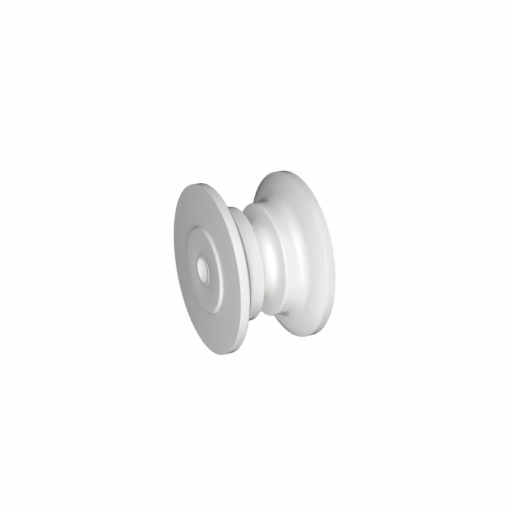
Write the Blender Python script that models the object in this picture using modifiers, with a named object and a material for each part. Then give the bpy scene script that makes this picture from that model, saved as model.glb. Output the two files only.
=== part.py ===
"""A bow roller: a turned nylon spool that spins on a white acetal bush, at its real size.

Frame: metres, +Z up. The origin is the centre of the bore, and the roller spins about +Y.
A profile is a list of (radius, height) points. Height runs along the axis, which the
pieces' rotation lays along +Y, and a profile runs down its outer side, top to bottom.
"""

import math

import bpy

MM = 0.001

# Driving dimensions, in millimetres.
ROLLER_DIAMETER = 70.0
WIDTH_OVER_FLANGES = 40.7
RIM_WIDTH = 3.65
RIM_OUTER_EDGE_RADIUS = 0.2
RIM_INNER_EDGE_RADIUS = 0.5
RIM_BEVEL_DEPTH = 5.4
RIM_BEVEL_WIDTH = 3.15
FLANGE_FILLET_RADIUS = 4.0
SHOULDER_DIAMETER = 47.4
SHOULDER_EDGE_RADIUS = 1.05
GROOVE_WIDTH = 8.7
GROOVE_DIAMETER = 30.0
GROOVE_FILLET_RADIUS = 2.8
BOSS_TOP_DIAMETER = 34.5
BOSS_FOOT_DIAMETER = 36.3
BOSS_HEIGHT = 1.05
BOSS_EDGE_RADIUS = 0.5
BUSH_OUTER_DIAMETER = 13.4
BUSH_BORE_DIAMETER = 10.0
BUSH_STAND_OUT = 0.1
BUSH_OUTER_EDGE_RADIUS = 0.2
BUSH_INNER_EDGE_RADIUS = 0.5
RUNNING_CLEARANCE = 0.1
BORE_CHAMFER = 0.2

TURNED_STEPS = 72

LIE_ALONG_Y = (-math.pi / 2, 0.0, 0.0)


def arc(centre, radius, start_deg, end_deg, spans):
    """Points of an arc, from start_deg to end_deg counter-clockwise if end_deg is larger."""
    points = []
    for i in range(spans + 1):
        angle = math.radians(start_deg + (end_deg - start_deg) * i / spans)
        points.append((centre[0] + radius * math.cos(angle), centre[1] + radius * math.sin(angle)))
    return points


def mirrored(upper):
    """The upper half of an outline, followed by its mirror image below the middle plane."""
    return upper + [(radius, -height) for radius, height in reversed(upper)]


def boss_outline(flange_face):
    """From the bore's chamfered mouth over the boss and down its bevel to the flange face."""
    bore_radius = BUSH_OUTER_DIAMETER / 2 + RUNNING_CLEARANCE
    top = BOSS_TOP_DIAMETER / 2
    foot = BOSS_FOOT_DIAMETER / 2
    boss_face = flange_face + BOSS_HEIGHT
    bevel_deg = math.degrees(math.atan2(BOSS_HEIGHT, foot - top))
    tangent = BOSS_EDGE_RADIUS * math.tan(math.radians(bevel_deg / 2))
    mouth = [(bore_radius, boss_face - BORE_CHAMFER), (bore_radius + BORE_CHAMFER, boss_face)]
    edge = arc((top - tangent, boss_face - BOSS_EDGE_RADIUS), BOSS_EDGE_RADIUS, 90, 90 - bevel_deg, 3)
    return mouth + edge + [(foot, flange_face)]


def rim_outline(flange_face, flange_wall):
    """Round the flange's rim: two rounded edges with a land between, then the inner bevel."""
    outer = ROLLER_DIAMETER / 2
    land_end = flange_face - RIM_WIDTH
    turn_deg = 90 - math.degrees(math.atan2(RIM_BEVEL_WIDTH, RIM_BEVEL_DEPTH))
    tangent = RIM_INNER_EDGE_RADIUS * math.tan(math.radians(turn_deg / 2))
    outer_centre = (outer - RIM_OUTER_EDGE_RADIUS, flange_face - RIM_OUTER_EDGE_RADIUS)
    inner_centre = (outer - RIM_INNER_EDGE_RADIUS, land_end + tangent)
    outer_edge = arc(outer_centre, RIM_OUTER_EDGE_RADIUS, 90, 0, 2)
    inner_edge = arc(inner_centre, RIM_INNER_EDGE_RADIUS, 0, -turn_deg, 3)
    return outer_edge + inner_edge + [(outer - RIM_BEVEL_DEPTH, flange_wall)]


def barrel_outline(flange_wall):
    """From the flange's inner wall over its fillet and the shoulder to the bottom of the groove."""
    shoulder = SHOULDER_DIAMETER / 2
    flank = GROOVE_WIDTH / 2
    bottom = GROOVE_DIAMETER / 2
    root_centre = (shoulder + FLANGE_FILLET_RADIUS, flange_wall - FLANGE_FILLET_RADIUS)
    edge_centre = (shoulder - SHOULDER_EDGE_RADIUS, flank + SHOULDER_EDGE_RADIUS)
    groove_centre = (bottom + GROOVE_FILLET_RADIUS, flank - GROOVE_FILLET_RADIUS)
    root = arc(root_centre, FLANGE_FILLET_RADIUS, 90, 180, 5)
    edge = arc(edge_centre, SHOULDER_EDGE_RADIUS, 0, -90, 3)
    groove = arc(groove_centre, GROOVE_FILLET_RADIUS, 90, 180, 3)
    return root + edge + groove


def roller_outline():
    flange_face = WIDTH_OVER_FLANGES / 2
    flange_wall = flange_face - RIM_WIDTH - RIM_BEVEL_WIDTH
    upper = boss_outline(flange_face)
    upper += rim_outline(flange_face, flange_wall)
    upper += barrel_outline(flange_wall)
    return mirrored(upper)


def bush_outline():
    """The bush's tube wall: both ends stand out of the bosses and have rounded edges."""
    end = WIDTH_OVER_FLANGES / 2 + BOSS_HEIGHT + BUSH_STAND_OUT
    inner_centre = (BUSH_BORE_DIAMETER / 2 + BUSH_INNER_EDGE_RADIUS, end - BUSH_INNER_EDGE_RADIUS)
    outer_centre = (BUSH_OUTER_DIAMETER / 2 - BUSH_OUTER_EDGE_RADIUS, end - BUSH_OUTER_EDGE_RADIUS)
    inner = arc(inner_centre, BUSH_INNER_EDGE_RADIUS, 180, 90, 3)
    outer = arc(outer_centre, BUSH_OUTER_EDGE_RADIUS, 90, 0, 2)
    return mirrored(inner + outer)


def material(name, colour, roughness, metallic):
    made = bpy.data.materials.new(name)
    made.use_nodes = True
    shader = made.node_tree.nodes["Principled BSDF"]
    shader.inputs["Base Color"].default_value = (*colour, 1.0)
    shader.inputs["Roughness"].default_value = roughness
    shader.inputs["Metallic"].default_value = metallic
    made.diffuse_color = (*colour, 1.0)
    return made


def turned(name, outline, finish, collection, parent):
    """A closed outline swept once round the axis by a Screw modifier, then laid along +Y."""
    points = [(radius * MM, 0.0, height * MM) for radius, height in outline]
    edges = [(i, (i + 1) % len(points)) for i in range(len(points))]
    mesh = bpy.data.meshes.new(name)
    mesh.from_pydata(points, edges, [])
    piece = bpy.data.objects.new(name, mesh)
    collection.objects.link(piece)
    mesh.materials.append(finish)
    screw = piece.modifiers.new("Turn", "SCREW")
    screw.axis = "Z"
    screw.steps = TURNED_STEPS
    screw.render_steps = TURNED_STEPS
    screw.use_merge_vertices = True
    screw.merge_threshold = 0.00001
    screw.use_smooth_shade = True
    piece.rotation_euler = LIE_ALONG_Y
    piece.parent = parent
    return piece


def joint_axis(name, collection):
    """An empty at the centre of the bore, where the roller's spin axis runs along +Y."""
    axis = bpy.data.objects.new(name, None)
    axis.empty_display_type = "SINGLE_ARROW"
    axis.empty_display_size = ROLLER_DIAMETER * MM
    collection.objects.link(axis)
    return axis


def main():
    for existing in list(bpy.data.objects):
        bpy.data.objects.remove(existing, do_unlink=True)
    collection = bpy.data.collections.new("bow_roller")
    bpy.context.scene.collection.children.link(collection)
    nylon = material("white_nylon", (0.86, 0.86, 0.84), 0.42, 0.0)
    acetal = material("white_acetal", (0.88, 0.89, 0.89), 0.28, 0.0)
    fitting = joint_axis("fitting_axis", collection)
    spin = joint_axis("roller_spin_axis", collection)
    spin.parent = fitting
    turned("spacer_bush", bush_outline(), acetal, collection, fitting)
    turned("roller_body", roller_outline(), nylon, collection, spin)


main()
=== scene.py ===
"""The looks of the bow roller: a fine turned nylon spool on a white acetal bush, in a pale studio.

The roller's place and its overall size come from the CAD frame. The finer shape inside that box
is given as shares of the flange radius. The spin axis is +Y.
"""

import math

import bpy
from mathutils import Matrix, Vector


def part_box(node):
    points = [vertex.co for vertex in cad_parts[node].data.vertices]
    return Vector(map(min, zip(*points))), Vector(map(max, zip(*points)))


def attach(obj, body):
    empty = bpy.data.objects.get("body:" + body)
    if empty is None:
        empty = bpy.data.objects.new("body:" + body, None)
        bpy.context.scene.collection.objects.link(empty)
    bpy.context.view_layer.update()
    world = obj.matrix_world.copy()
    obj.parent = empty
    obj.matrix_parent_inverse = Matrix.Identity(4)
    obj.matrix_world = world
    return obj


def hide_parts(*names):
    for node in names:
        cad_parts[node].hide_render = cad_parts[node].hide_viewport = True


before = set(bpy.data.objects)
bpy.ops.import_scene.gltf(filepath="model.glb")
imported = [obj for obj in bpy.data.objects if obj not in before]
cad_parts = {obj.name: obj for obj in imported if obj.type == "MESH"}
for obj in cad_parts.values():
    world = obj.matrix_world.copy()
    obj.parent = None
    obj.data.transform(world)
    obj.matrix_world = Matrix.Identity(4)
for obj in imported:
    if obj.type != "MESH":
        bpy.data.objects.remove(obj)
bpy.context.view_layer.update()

ROLLER_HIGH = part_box("roller_body")[1]
BUSH_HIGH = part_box("spacer_bush")[1]
FLANGE_RADIUS = ROLLER_HIGH.x
BOSS_FACE = ROLLER_HIGH.y / FLANGE_RADIUS
BUSH_END = BUSH_HIGH.y / FLANGE_RADIUS
BUSH_RADIUS = BUSH_HIGH.x / FLANGE_RADIUS

# The spool's turned profile, as shares of the flange radius.
BOSS_HEIGHT = 0.0300
BOSS_TOP_RADIUS = 0.4929
BOSS_FOOT_RADIUS = 0.5186
BOSS_TOP_ROUND = 0.0143
BOSS_FOOT_ROUND = 0.0040
RIM_WIDTH = 0.1043
RIM_EDGE = 0.0057
BEVEL_DEPTH = 0.1543
BEVEL_WIDTH = 0.0900
BEVEL_EDGE = 0.0143
ROOT_FILLET = 0.1143
SHOULDER_RADIUS = 0.6771
SHOULDER_EDGE = 0.0300
GROOVE_HALF_WIDTH = 0.1243
GROOVE_RADIUS = 0.4286
GROOVE_FILLET = 0.0800
BORE_CLEARANCE = 0.0029
BORE_MOUTH_ROUND = 0.0057

# The bush's bore and its rounded ends.
BUSH_BORE_RADIUS = 0.1429
BUSH_OUTER_EDGE = 0.0057
BUSH_INNER_EDGE = 0.0057

TURNED_STEPS = 288
MERGE_DISTANCE = 0.000001

NYLON = (0.925, 0.930, 0.926, 1.0)
NYLON_SHADE = (0.910, 0.914, 0.908, 1.0)
ACETAL = (0.940, 0.945, 0.945, 1.0)
ACETAL_SHADE = (0.925, 0.930, 0.930, 1.0)
POLISH = 0.8
# Painted shade: the plastics' white is darkened towards the near-black below where a surface turns edge-on
# to the camera, drawing dark outlines at the silhouettes.
SILHOUETTE_SHADE_START = 0.70
SILHOUETTE_SHADE_DEPTH = 0.8
SILHOUETTE_PAINTED_SHADE = (0.12, 0.12, 0.125, 1.0)
# Painted highlight: across the groove the white is painted warmer and brighter.
GROOVE_PAINTED_HIGHLIGHT = (0.975, 0.976, 0.955, 1.0)
GROOVE_HIGHLIGHT_BLEND = 0.8

# The plastics' fine detail. Sizes and the reach of the glow are in metres.
CLOUD_SIZE = 0.018
CLOUD_RANGE = (0.35, 0.65)
CLOUD_DULLING = 0.08
SCUFF_SIZE = 0.0012
SCUFF_RANGE = (0.60, 0.72)
SCUFF_COLOUR = (0.70, 0.70, 0.69, 1.0)
SCUFF_TINT = 0.12
SCUFF_DULLING = 0.10
RING_DRIFT = 0.02
GLOW_REACH = (0.0025, 0.0022, 0.0020)

# The sockets that a Mix node uses for colours. Their names are shared with other types' sockets.
MIX_SHARE = 0
MIX_FIRST = 6
MIX_SECOND = 7
MIX_RESULT = 2

BLACK = (0.0, 0.0, 0.0, 1.0)
SURROUND = (0.99, 0.99, 0.99, 1.0)

# The floor and the soft lights are in metres, the bore lamps' places in shares of the radius.
FLOOR_SIZE = 6.0
LIGHT_DISTANCE = 0.45
LIGHT_SIZE = 0.30
BORE_LIGHT_DEPTH = 0.3000
BORE_LIGHT_RADIUS = 0.0570
BORE_LIGHT_WATTS = 0.0003

# The camera's angles in degrees, its distance as a share of the flange radius, its lens in mm.
CAMERA_AZIMUTH = 64.81
CAMERA_ELEVATION = 23.43
CAMERA_DISTANCE = 11.96
CAMERA_LENS = 71.61
SENSOR_WIDTH = 36.0
CAMERA_SHIFT = (0.0089, 0.0129)
CAMERA_CLIP_START = 0.01


def arc(centre, radius, start_deg, end_deg, spans=8):
    """Points of an arc, from start_deg to end_deg, counter-clockwise if end_deg is larger."""
    points = []
    for i in range(spans + 1):
        angle = math.radians(start_deg + (end_deg - start_deg) * i / spans)
        points.append((centre[0] + radius * math.cos(angle), centre[1] + radius * math.sin(angle)))
    return points


def mirrored(upper):
    """The upper half of an outline, followed by its mirror image below the middle plane."""
    return upper + [(radius, -height) for radius, height in reversed(upper)]


def boss_outline(flange_face, boss_face):
    """The bore's mouth, the boss's flat top and the bevel down to the flange, eased at both ends."""
    bore = BUSH_RADIUS + BORE_CLEARANCE
    bevel = math.atan2(boss_face - flange_face, BOSS_FOOT_RADIUS - BOSS_TOP_RADIUS)
    bevel_deg = math.degrees(bevel)
    top_tangent = BOSS_TOP_ROUND * math.tan(bevel / 2)
    foot_tangent = BOSS_FOOT_ROUND * math.tan(bevel / 2)
    mouth_centre = (bore + BORE_MOUTH_ROUND, boss_face - BORE_MOUTH_ROUND)
    top_centre = (BOSS_TOP_RADIUS - top_tangent, boss_face - BOSS_TOP_ROUND)
    foot_centre = (BOSS_FOOT_RADIUS + foot_tangent, flange_face + BOSS_FOOT_ROUND)
    mouth = arc(mouth_centre, BORE_MOUTH_ROUND, 180, 90, spans=4)
    top = arc(top_centre, BOSS_TOP_ROUND, 90, 90 - bevel_deg)
    foot = arc(foot_centre, BOSS_FOOT_ROUND, 270 - bevel_deg, 270)
    return mouth + top + foot


def rim_outline(flange_face, flange_wall):
    """Round the flange's rim: two rounded edges with a land between, then the inner bevel."""
    land_end = flange_face - RIM_WIDTH
    slope_deg = math.degrees(math.atan2(BEVEL_WIDTH, BEVEL_DEPTH))
    turn_deg = 90 - slope_deg
    tangent = BEVEL_EDGE * math.tan(math.radians(turn_deg / 2))
    outer_edge = arc((1 - RIM_EDGE, flange_face - RIM_EDGE), RIM_EDGE, 90, 0)
    inner_edge = arc((1 - BEVEL_EDGE, land_end + tangent), BEVEL_EDGE, 0, -turn_deg)
    return outer_edge + inner_edge + [(1 - BEVEL_DEPTH, flange_wall)]


def barrel_outline(flange_wall):
    """From the flange's inner wall over its fillet and the shoulder to the bottom of the groove."""
    root_centre = (SHOULDER_RADIUS + ROOT_FILLET, flange_wall - ROOT_FILLET)
    edge_centre = (SHOULDER_RADIUS - SHOULDER_EDGE, GROOVE_HALF_WIDTH + SHOULDER_EDGE)
    groove_centre = (GROOVE_RADIUS + GROOVE_FILLET, GROOVE_HALF_WIDTH - GROOVE_FILLET)
    root = arc(root_centre, ROOT_FILLET, 90, 180, spans=20)
    edge = arc(edge_centre, SHOULDER_EDGE, 0, -90)
    groove = arc(groove_centre, GROOVE_FILLET, 90, 180, spans=12)
    return root + edge + groove


def roller_outline():
    flange_face = BOSS_FACE - BOSS_HEIGHT
    flange_wall = flange_face - RIM_WIDTH - BEVEL_WIDTH
    upper = boss_outline(flange_face, BOSS_FACE)
    upper += rim_outline(flange_face, flange_wall)
    upper += barrel_outline(flange_wall)
    return mirrored(upper)


def bush_outline():
    """The bush's tube wall, with rounded edges at both ends."""
    bore_centre = (BUSH_BORE_RADIUS + BUSH_INNER_EDGE, BUSH_END - BUSH_INNER_EDGE)
    outer_centre = (BUSH_RADIUS - BUSH_OUTER_EDGE, BUSH_END - BUSH_OUTER_EDGE)
    inner = arc(bore_centre, BUSH_INNER_EDGE, 180, 90)
    outer = arc(outer_centre, BUSH_OUTER_EDGE, 90, 0)
    return mirrored(inner + outer)


def turned(name, outline):
    """A closed outline swept round the spin axis. It lies in the XY plane and turns about +Y."""
    points = [(radius * FLANGE_RADIUS, height * FLANGE_RADIUS, 0.0) for radius, height in outline]
    edges = [(i, (i + 1) % len(points)) for i in range(len(points))]
    mesh = bpy.data.meshes.new(name)
    mesh.from_pydata(points, edges, [])
    piece = bpy.data.objects.new(name, mesh)
    bpy.context.scene.collection.objects.link(piece)
    screw = piece.modifiers.new("Turn", "SCREW")
    screw.axis = "Y"
    screw.steps = TURNED_STEPS
    screw.render_steps = TURNED_STEPS
    screw.use_merge_vertices = True
    screw.merge_threshold = MERGE_DISTANCE
    screw.use_smooth_shade = True
    screw.use_normal_calculate = True
    return piece


def feed(tree, socket, value):
    """Set a node's input to a value, or link it to another node's output."""
    if isinstance(value, bpy.types.NodeSocket):
        tree.links.new(value, socket)
    else:
        socket.default_value = value


def maths(tree, operation, first, second=0.0):
    made = tree.nodes.new("ShaderNodeMath")
    made.operation = operation
    feed(tree, made.inputs[0], first)
    feed(tree, made.inputs[1], second)
    return made.outputs[0]


def noise(tree, vector, scale, detail, roughness=0.5):
    made = tree.nodes.new("ShaderNodeTexNoise")
    feed(tree, made.inputs["Vector"], vector)
    feed(tree, made.inputs["Scale"], scale)
    feed(tree, made.inputs["Detail"], detail)
    feed(tree, made.inputs["Roughness"], roughness)
    return made.outputs["Fac"]


def spread(tree, value, low, high, to_low=0.0, to_high=1.0):
    """The stretch from low to high, mapped to run from to_low to to_high and held there outside it."""
    made = tree.nodes.new("ShaderNodeMapRange")
    feed(tree, made.inputs["Value"], value)
    feed(tree, made.inputs["From Min"], low)
    feed(tree, made.inputs["From Max"], high)
    feed(tree, made.inputs["To Min"], to_low)
    feed(tree, made.inputs["To Max"], to_high)
    return made.outputs["Result"]


def blend(tree, share, first, second):
    made = tree.nodes.new("ShaderNodeMix")
    made.data_type = "RGBA"
    feed(tree, made.inputs[MIX_SHARE], share)
    feed(tree, made.inputs[MIX_FIRST], first)
    feed(tree, made.inputs[MIX_SECOND], second)
    return made.outputs[MIX_RESULT]


def ring_vector(tree, place):
    """A place for the tool marks' noise: it changes fast across the rings and hardly along them."""
    split = tree.nodes.new("ShaderNodeSeparateXYZ")
    feed(tree, split.inputs[0], place)
    x, y, z = split.outputs
    squares = maths(tree, "ADD", maths(tree, "POWER", x, 2), maths(tree, "POWER", z, 2))
    radius = maths(tree, "SQRT", squares)
    join = tree.nodes.new("ShaderNodeCombineXYZ")
    feed(tree, join.inputs[0], maths(tree, "ADD", radius, maths(tree, "MULTIPLY", x, RING_DRIFT)))
    feed(tree, join.inputs[1], y)
    feed(tree, join.inputs[2], maths(tree, "MULTIPLY", z, RING_DRIFT))
    return join.outputs[0]


def groove_highlight_share(tree, place):
    """One across the groove's width, where a painted highlight makes the white warmer and brighter, and
    nought outside it.
    """
    split = tree.nodes.new("ShaderNodeSeparateXYZ")
    feed(tree, split.inputs[0], place)
    off_centre = maths(tree, "ABSOLUTE", split.outputs["Y"])
    flank = GROOVE_HALF_WIDTH * FLANGE_RADIUS
    return spread(tree, off_centre, flank, GROOVE_HIGHLIGHT_BLEND * flank)


def turned_plastic(name, colour, shade, roughness, ring_size, ring_depth, glow):
    """White plastic off a lathe: fine tool rings, cloudy tint, patchy sheen and handling scuffs, with
    painted shade that darkens it at the silhouettes and a painted highlight across the groove.
    """
    made = bpy.data.materials.new(name)
    made.use_nodes = True
    tree = made.node_tree
    shader = tree.nodes["Principled BSDF"]
    place = tree.nodes.new("ShaderNodeTexCoord").outputs["Object"]
    rings = noise(tree, ring_vector(tree, place), 1 / ring_size, detail=3, roughness=0.6)
    clouds = noise(tree, place, 1 / CLOUD_SIZE, detail=3)
    scuffs = noise(tree, place, 1 / SCUFF_SIZE, detail=4, roughness=0.7)
    clouded = spread(tree, clouds, *CLOUD_RANGE)
    scuffed = spread(tree, scuffs, *SCUFF_RANGE)
    tint = blend(tree, clouded, colour, shade)
    tint = blend(tree, maths(tree, "MULTIPLY", scuffed, SCUFF_TINT), tint, SCUFF_COLOUR)
    # Painted highlight: the groove is painted warmer and brighter.
    tint = blend(tree, groove_highlight_share(tree, place), tint, GROOVE_PAINTED_HIGHLIGHT)
    # Painted shade: darken the colour where the surface turns edge-on, as dark silhouette outlines.
    facing = tree.nodes.new("ShaderNodeLayerWeight").outputs["Facing"]
    edge = spread(tree, facing, SILHOUETTE_SHADE_START, 1.0, to_high=SILHOUETTE_SHADE_DEPTH)
    feed(tree, shader.inputs["Base Color"], blend(tree, edge, tint, SILHOUETTE_PAINTED_SHADE))
    cloud_dulling = maths(tree, "MULTIPLY", clouds, CLOUD_DULLING)
    scuff_dulling = maths(tree, "MULTIPLY", scuffed, SCUFF_DULLING)
    sheen = maths(tree, "ADD", roughness, cloud_dulling)
    feed(tree, shader.inputs["Roughness"], maths(tree, "ADD", sheen, scuff_dulling))
    shader.inputs["Specular IOR Level"].default_value = POLISH
    shader.inputs["Subsurface Weight"].default_value = glow
    shader.inputs["Subsurface Radius"].default_value = GLOW_REACH
    shader.inputs["Subsurface Scale"].default_value = 1.0
    bump = tree.nodes.new("ShaderNodeBump")
    bump.inputs["Strength"].default_value = 1.0
    bump.inputs["Distance"].default_value = ring_depth
    feed(tree, bump.inputs["Height"], rings)
    feed(tree, shader.inputs["Normal"], bump.outputs["Normal"])
    return made


def camera():
    """The camera, aimed at the middle of the bore. It gives back its axes, for placing the lights."""
    azimuth = math.radians(CAMERA_AZIMUTH)
    elevation = math.radians(CAMERA_ELEVATION)
    back = Vector((
        math.sin(azimuth) * math.cos(elevation),
        -math.cos(azimuth) * math.cos(elevation),
        math.sin(elevation),
    ))
    data = bpy.data.cameras.new("camera")
    data.sensor_width = SENSOR_WIDTH
    data.lens = CAMERA_LENS
    data.shift_x, data.shift_y = CAMERA_SHIFT
    data.clip_start = CAMERA_CLIP_START
    made = bpy.data.objects.new("camera", data)
    made.location = back * (CAMERA_DISTANCE * FLANGE_RADIUS)
    made.rotation_mode = "QUATERNION"
    made.rotation_quaternion = (-back).to_track_quat("-Z", "Y")
    bpy.context.scene.collection.objects.link(made)
    bpy.context.scene.camera = made
    return made.rotation_quaternion.to_matrix()


def soft_light(name, view, tilt_deg, round_deg, watts):
    """A round soft box, tilt_deg off the line to the camera and round_deg about that line."""
    tilt = math.radians(tilt_deg)
    turn = math.radians(round_deg)
    across = view @ Vector((math.cos(turn), math.sin(turn), 0))
    direction = view @ Vector((0, 0, math.cos(tilt))) + across * math.sin(tilt)
    data = bpy.data.lights.new(name, "AREA")
    data.shape = "DISK"
    data.size = LIGHT_SIZE
    data.energy = watts
    made = bpy.data.objects.new(name, data)
    made.location = direction * LIGHT_DISTANCE
    made.rotation_mode = "QUATERNION"
    made.rotation_quaternion = (-direction).to_track_quat("-Z", "Y")
    made.visible_camera = False
    bpy.context.scene.collection.objects.link(made)
    return made


def bore_light(name, height):
    """A faint lamp deep in the open bore, so that the tube's inside reads as lit plastic."""
    data = bpy.data.lights.new(name, "POINT")
    data.shadow_soft_size = BORE_LIGHT_RADIUS * FLANGE_RADIUS
    data.energy = BORE_LIGHT_WATTS
    made = bpy.data.objects.new(name, data)
    made.location = (0, height * FLANGE_RADIUS, 0)
    made.visible_camera = False
    bpy.context.scene.collection.objects.link(made)


def studio(view):
    """Soft lights on the camera's side, one behind, two in the bore, and a surround that lights nothing."""
    world = bpy.data.worlds.new("studio")
    bpy.context.scene.world = world
    world.use_nodes = True
    tree = world.node_tree
    surround = tree.nodes["Background"]
    seen = tree.nodes.new("ShaderNodeLightPath").outputs["Is Camera Ray"]
    feed(tree, surround.inputs["Color"], blend(tree, seen, BLACK, SURROUND))
    soft_light("front", view, tilt_deg=0, round_deg=0, watts=0.73)
    soft_light("high", view, tilt_deg=30, round_deg=70, watts=0.67)
    soft_light("low", view, tilt_deg=40, round_deg=270, watts=0.74)
    soft_light("side_high_right", view, tilt_deg=85, round_deg=45, watts=0.29)
    soft_light("side_high_left", view, tilt_deg=85, round_deg=135, watts=0.20)
    soft_light("side_low_left", view, tilt_deg=85, round_deg=225, watts=0.44)
    soft_light("side_low_right", view, tilt_deg=85, round_deg=315, watts=0.28)
    behind = soft_light("behind", view, tilt_deg=180, round_deg=0, watts=1.10)
    behind.visible_glossy = False
    bore_light("bore_low_y", BORE_LIGHT_DEPTH - BUSH_END)
    bore_light("bore_high_y", BUSH_END - BORE_LIGHT_DEPTH)
    bpy.context.scene.view_settings.view_transform = "Standard"


def floor():
    """A pale floor that the roller's rims stand on. It shows as bright as the surround."""
    half = FLOOR_SIZE / 2
    ground = -FLANGE_RADIUS
    corners = [(-half, -half, ground), (half, -half, ground), (half, half, ground), (-half, half, ground)]
    mesh = bpy.data.meshes.new("floor")
    mesh.from_pydata(corners, [], [(0, 1, 2, 3)])
    made = bpy.data.objects.new("floor", mesh)
    bpy.context.scene.collection.objects.link(made)
    pale = bpy.data.materials.new("pale_floor")
    pale.use_nodes = True
    shader = pale.node_tree.nodes["Principled BSDF"]
    shader.inputs["Base Color"].default_value = BLACK
    shader.inputs["Specular IOR Level"].default_value = 0.0
    shader.inputs["Emission Color"].default_value = SURROUND
    shader.inputs["Emission Strength"].default_value = 1.0
    mesh.materials.append(pale)
    made.visible_diffuse = False
    made.visible_glossy = False
    made.visible_transmission = False
    made.visible_shadow = False


roller = turned("roller_spool", roller_outline())
roller.data.materials.append(turned_plastic(
    "turned_white_nylon", NYLON, NYLON_SHADE,
    roughness=0.36, ring_size=0.0004, ring_depth=0.00002, glow=0.2))
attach(roller, "roller")
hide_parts("roller_body")

bush = turned("bush_tube", bush_outline())
bush.data.materials.append(turned_plastic(
    "turned_white_acetal", ACETAL, ACETAL_SHADE,
    roughness=0.20, ring_size=0.00025, ring_depth=0.00001, glow=0.05))
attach(bush, "bush")
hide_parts("spacer_bush")

studio(camera())
floor()
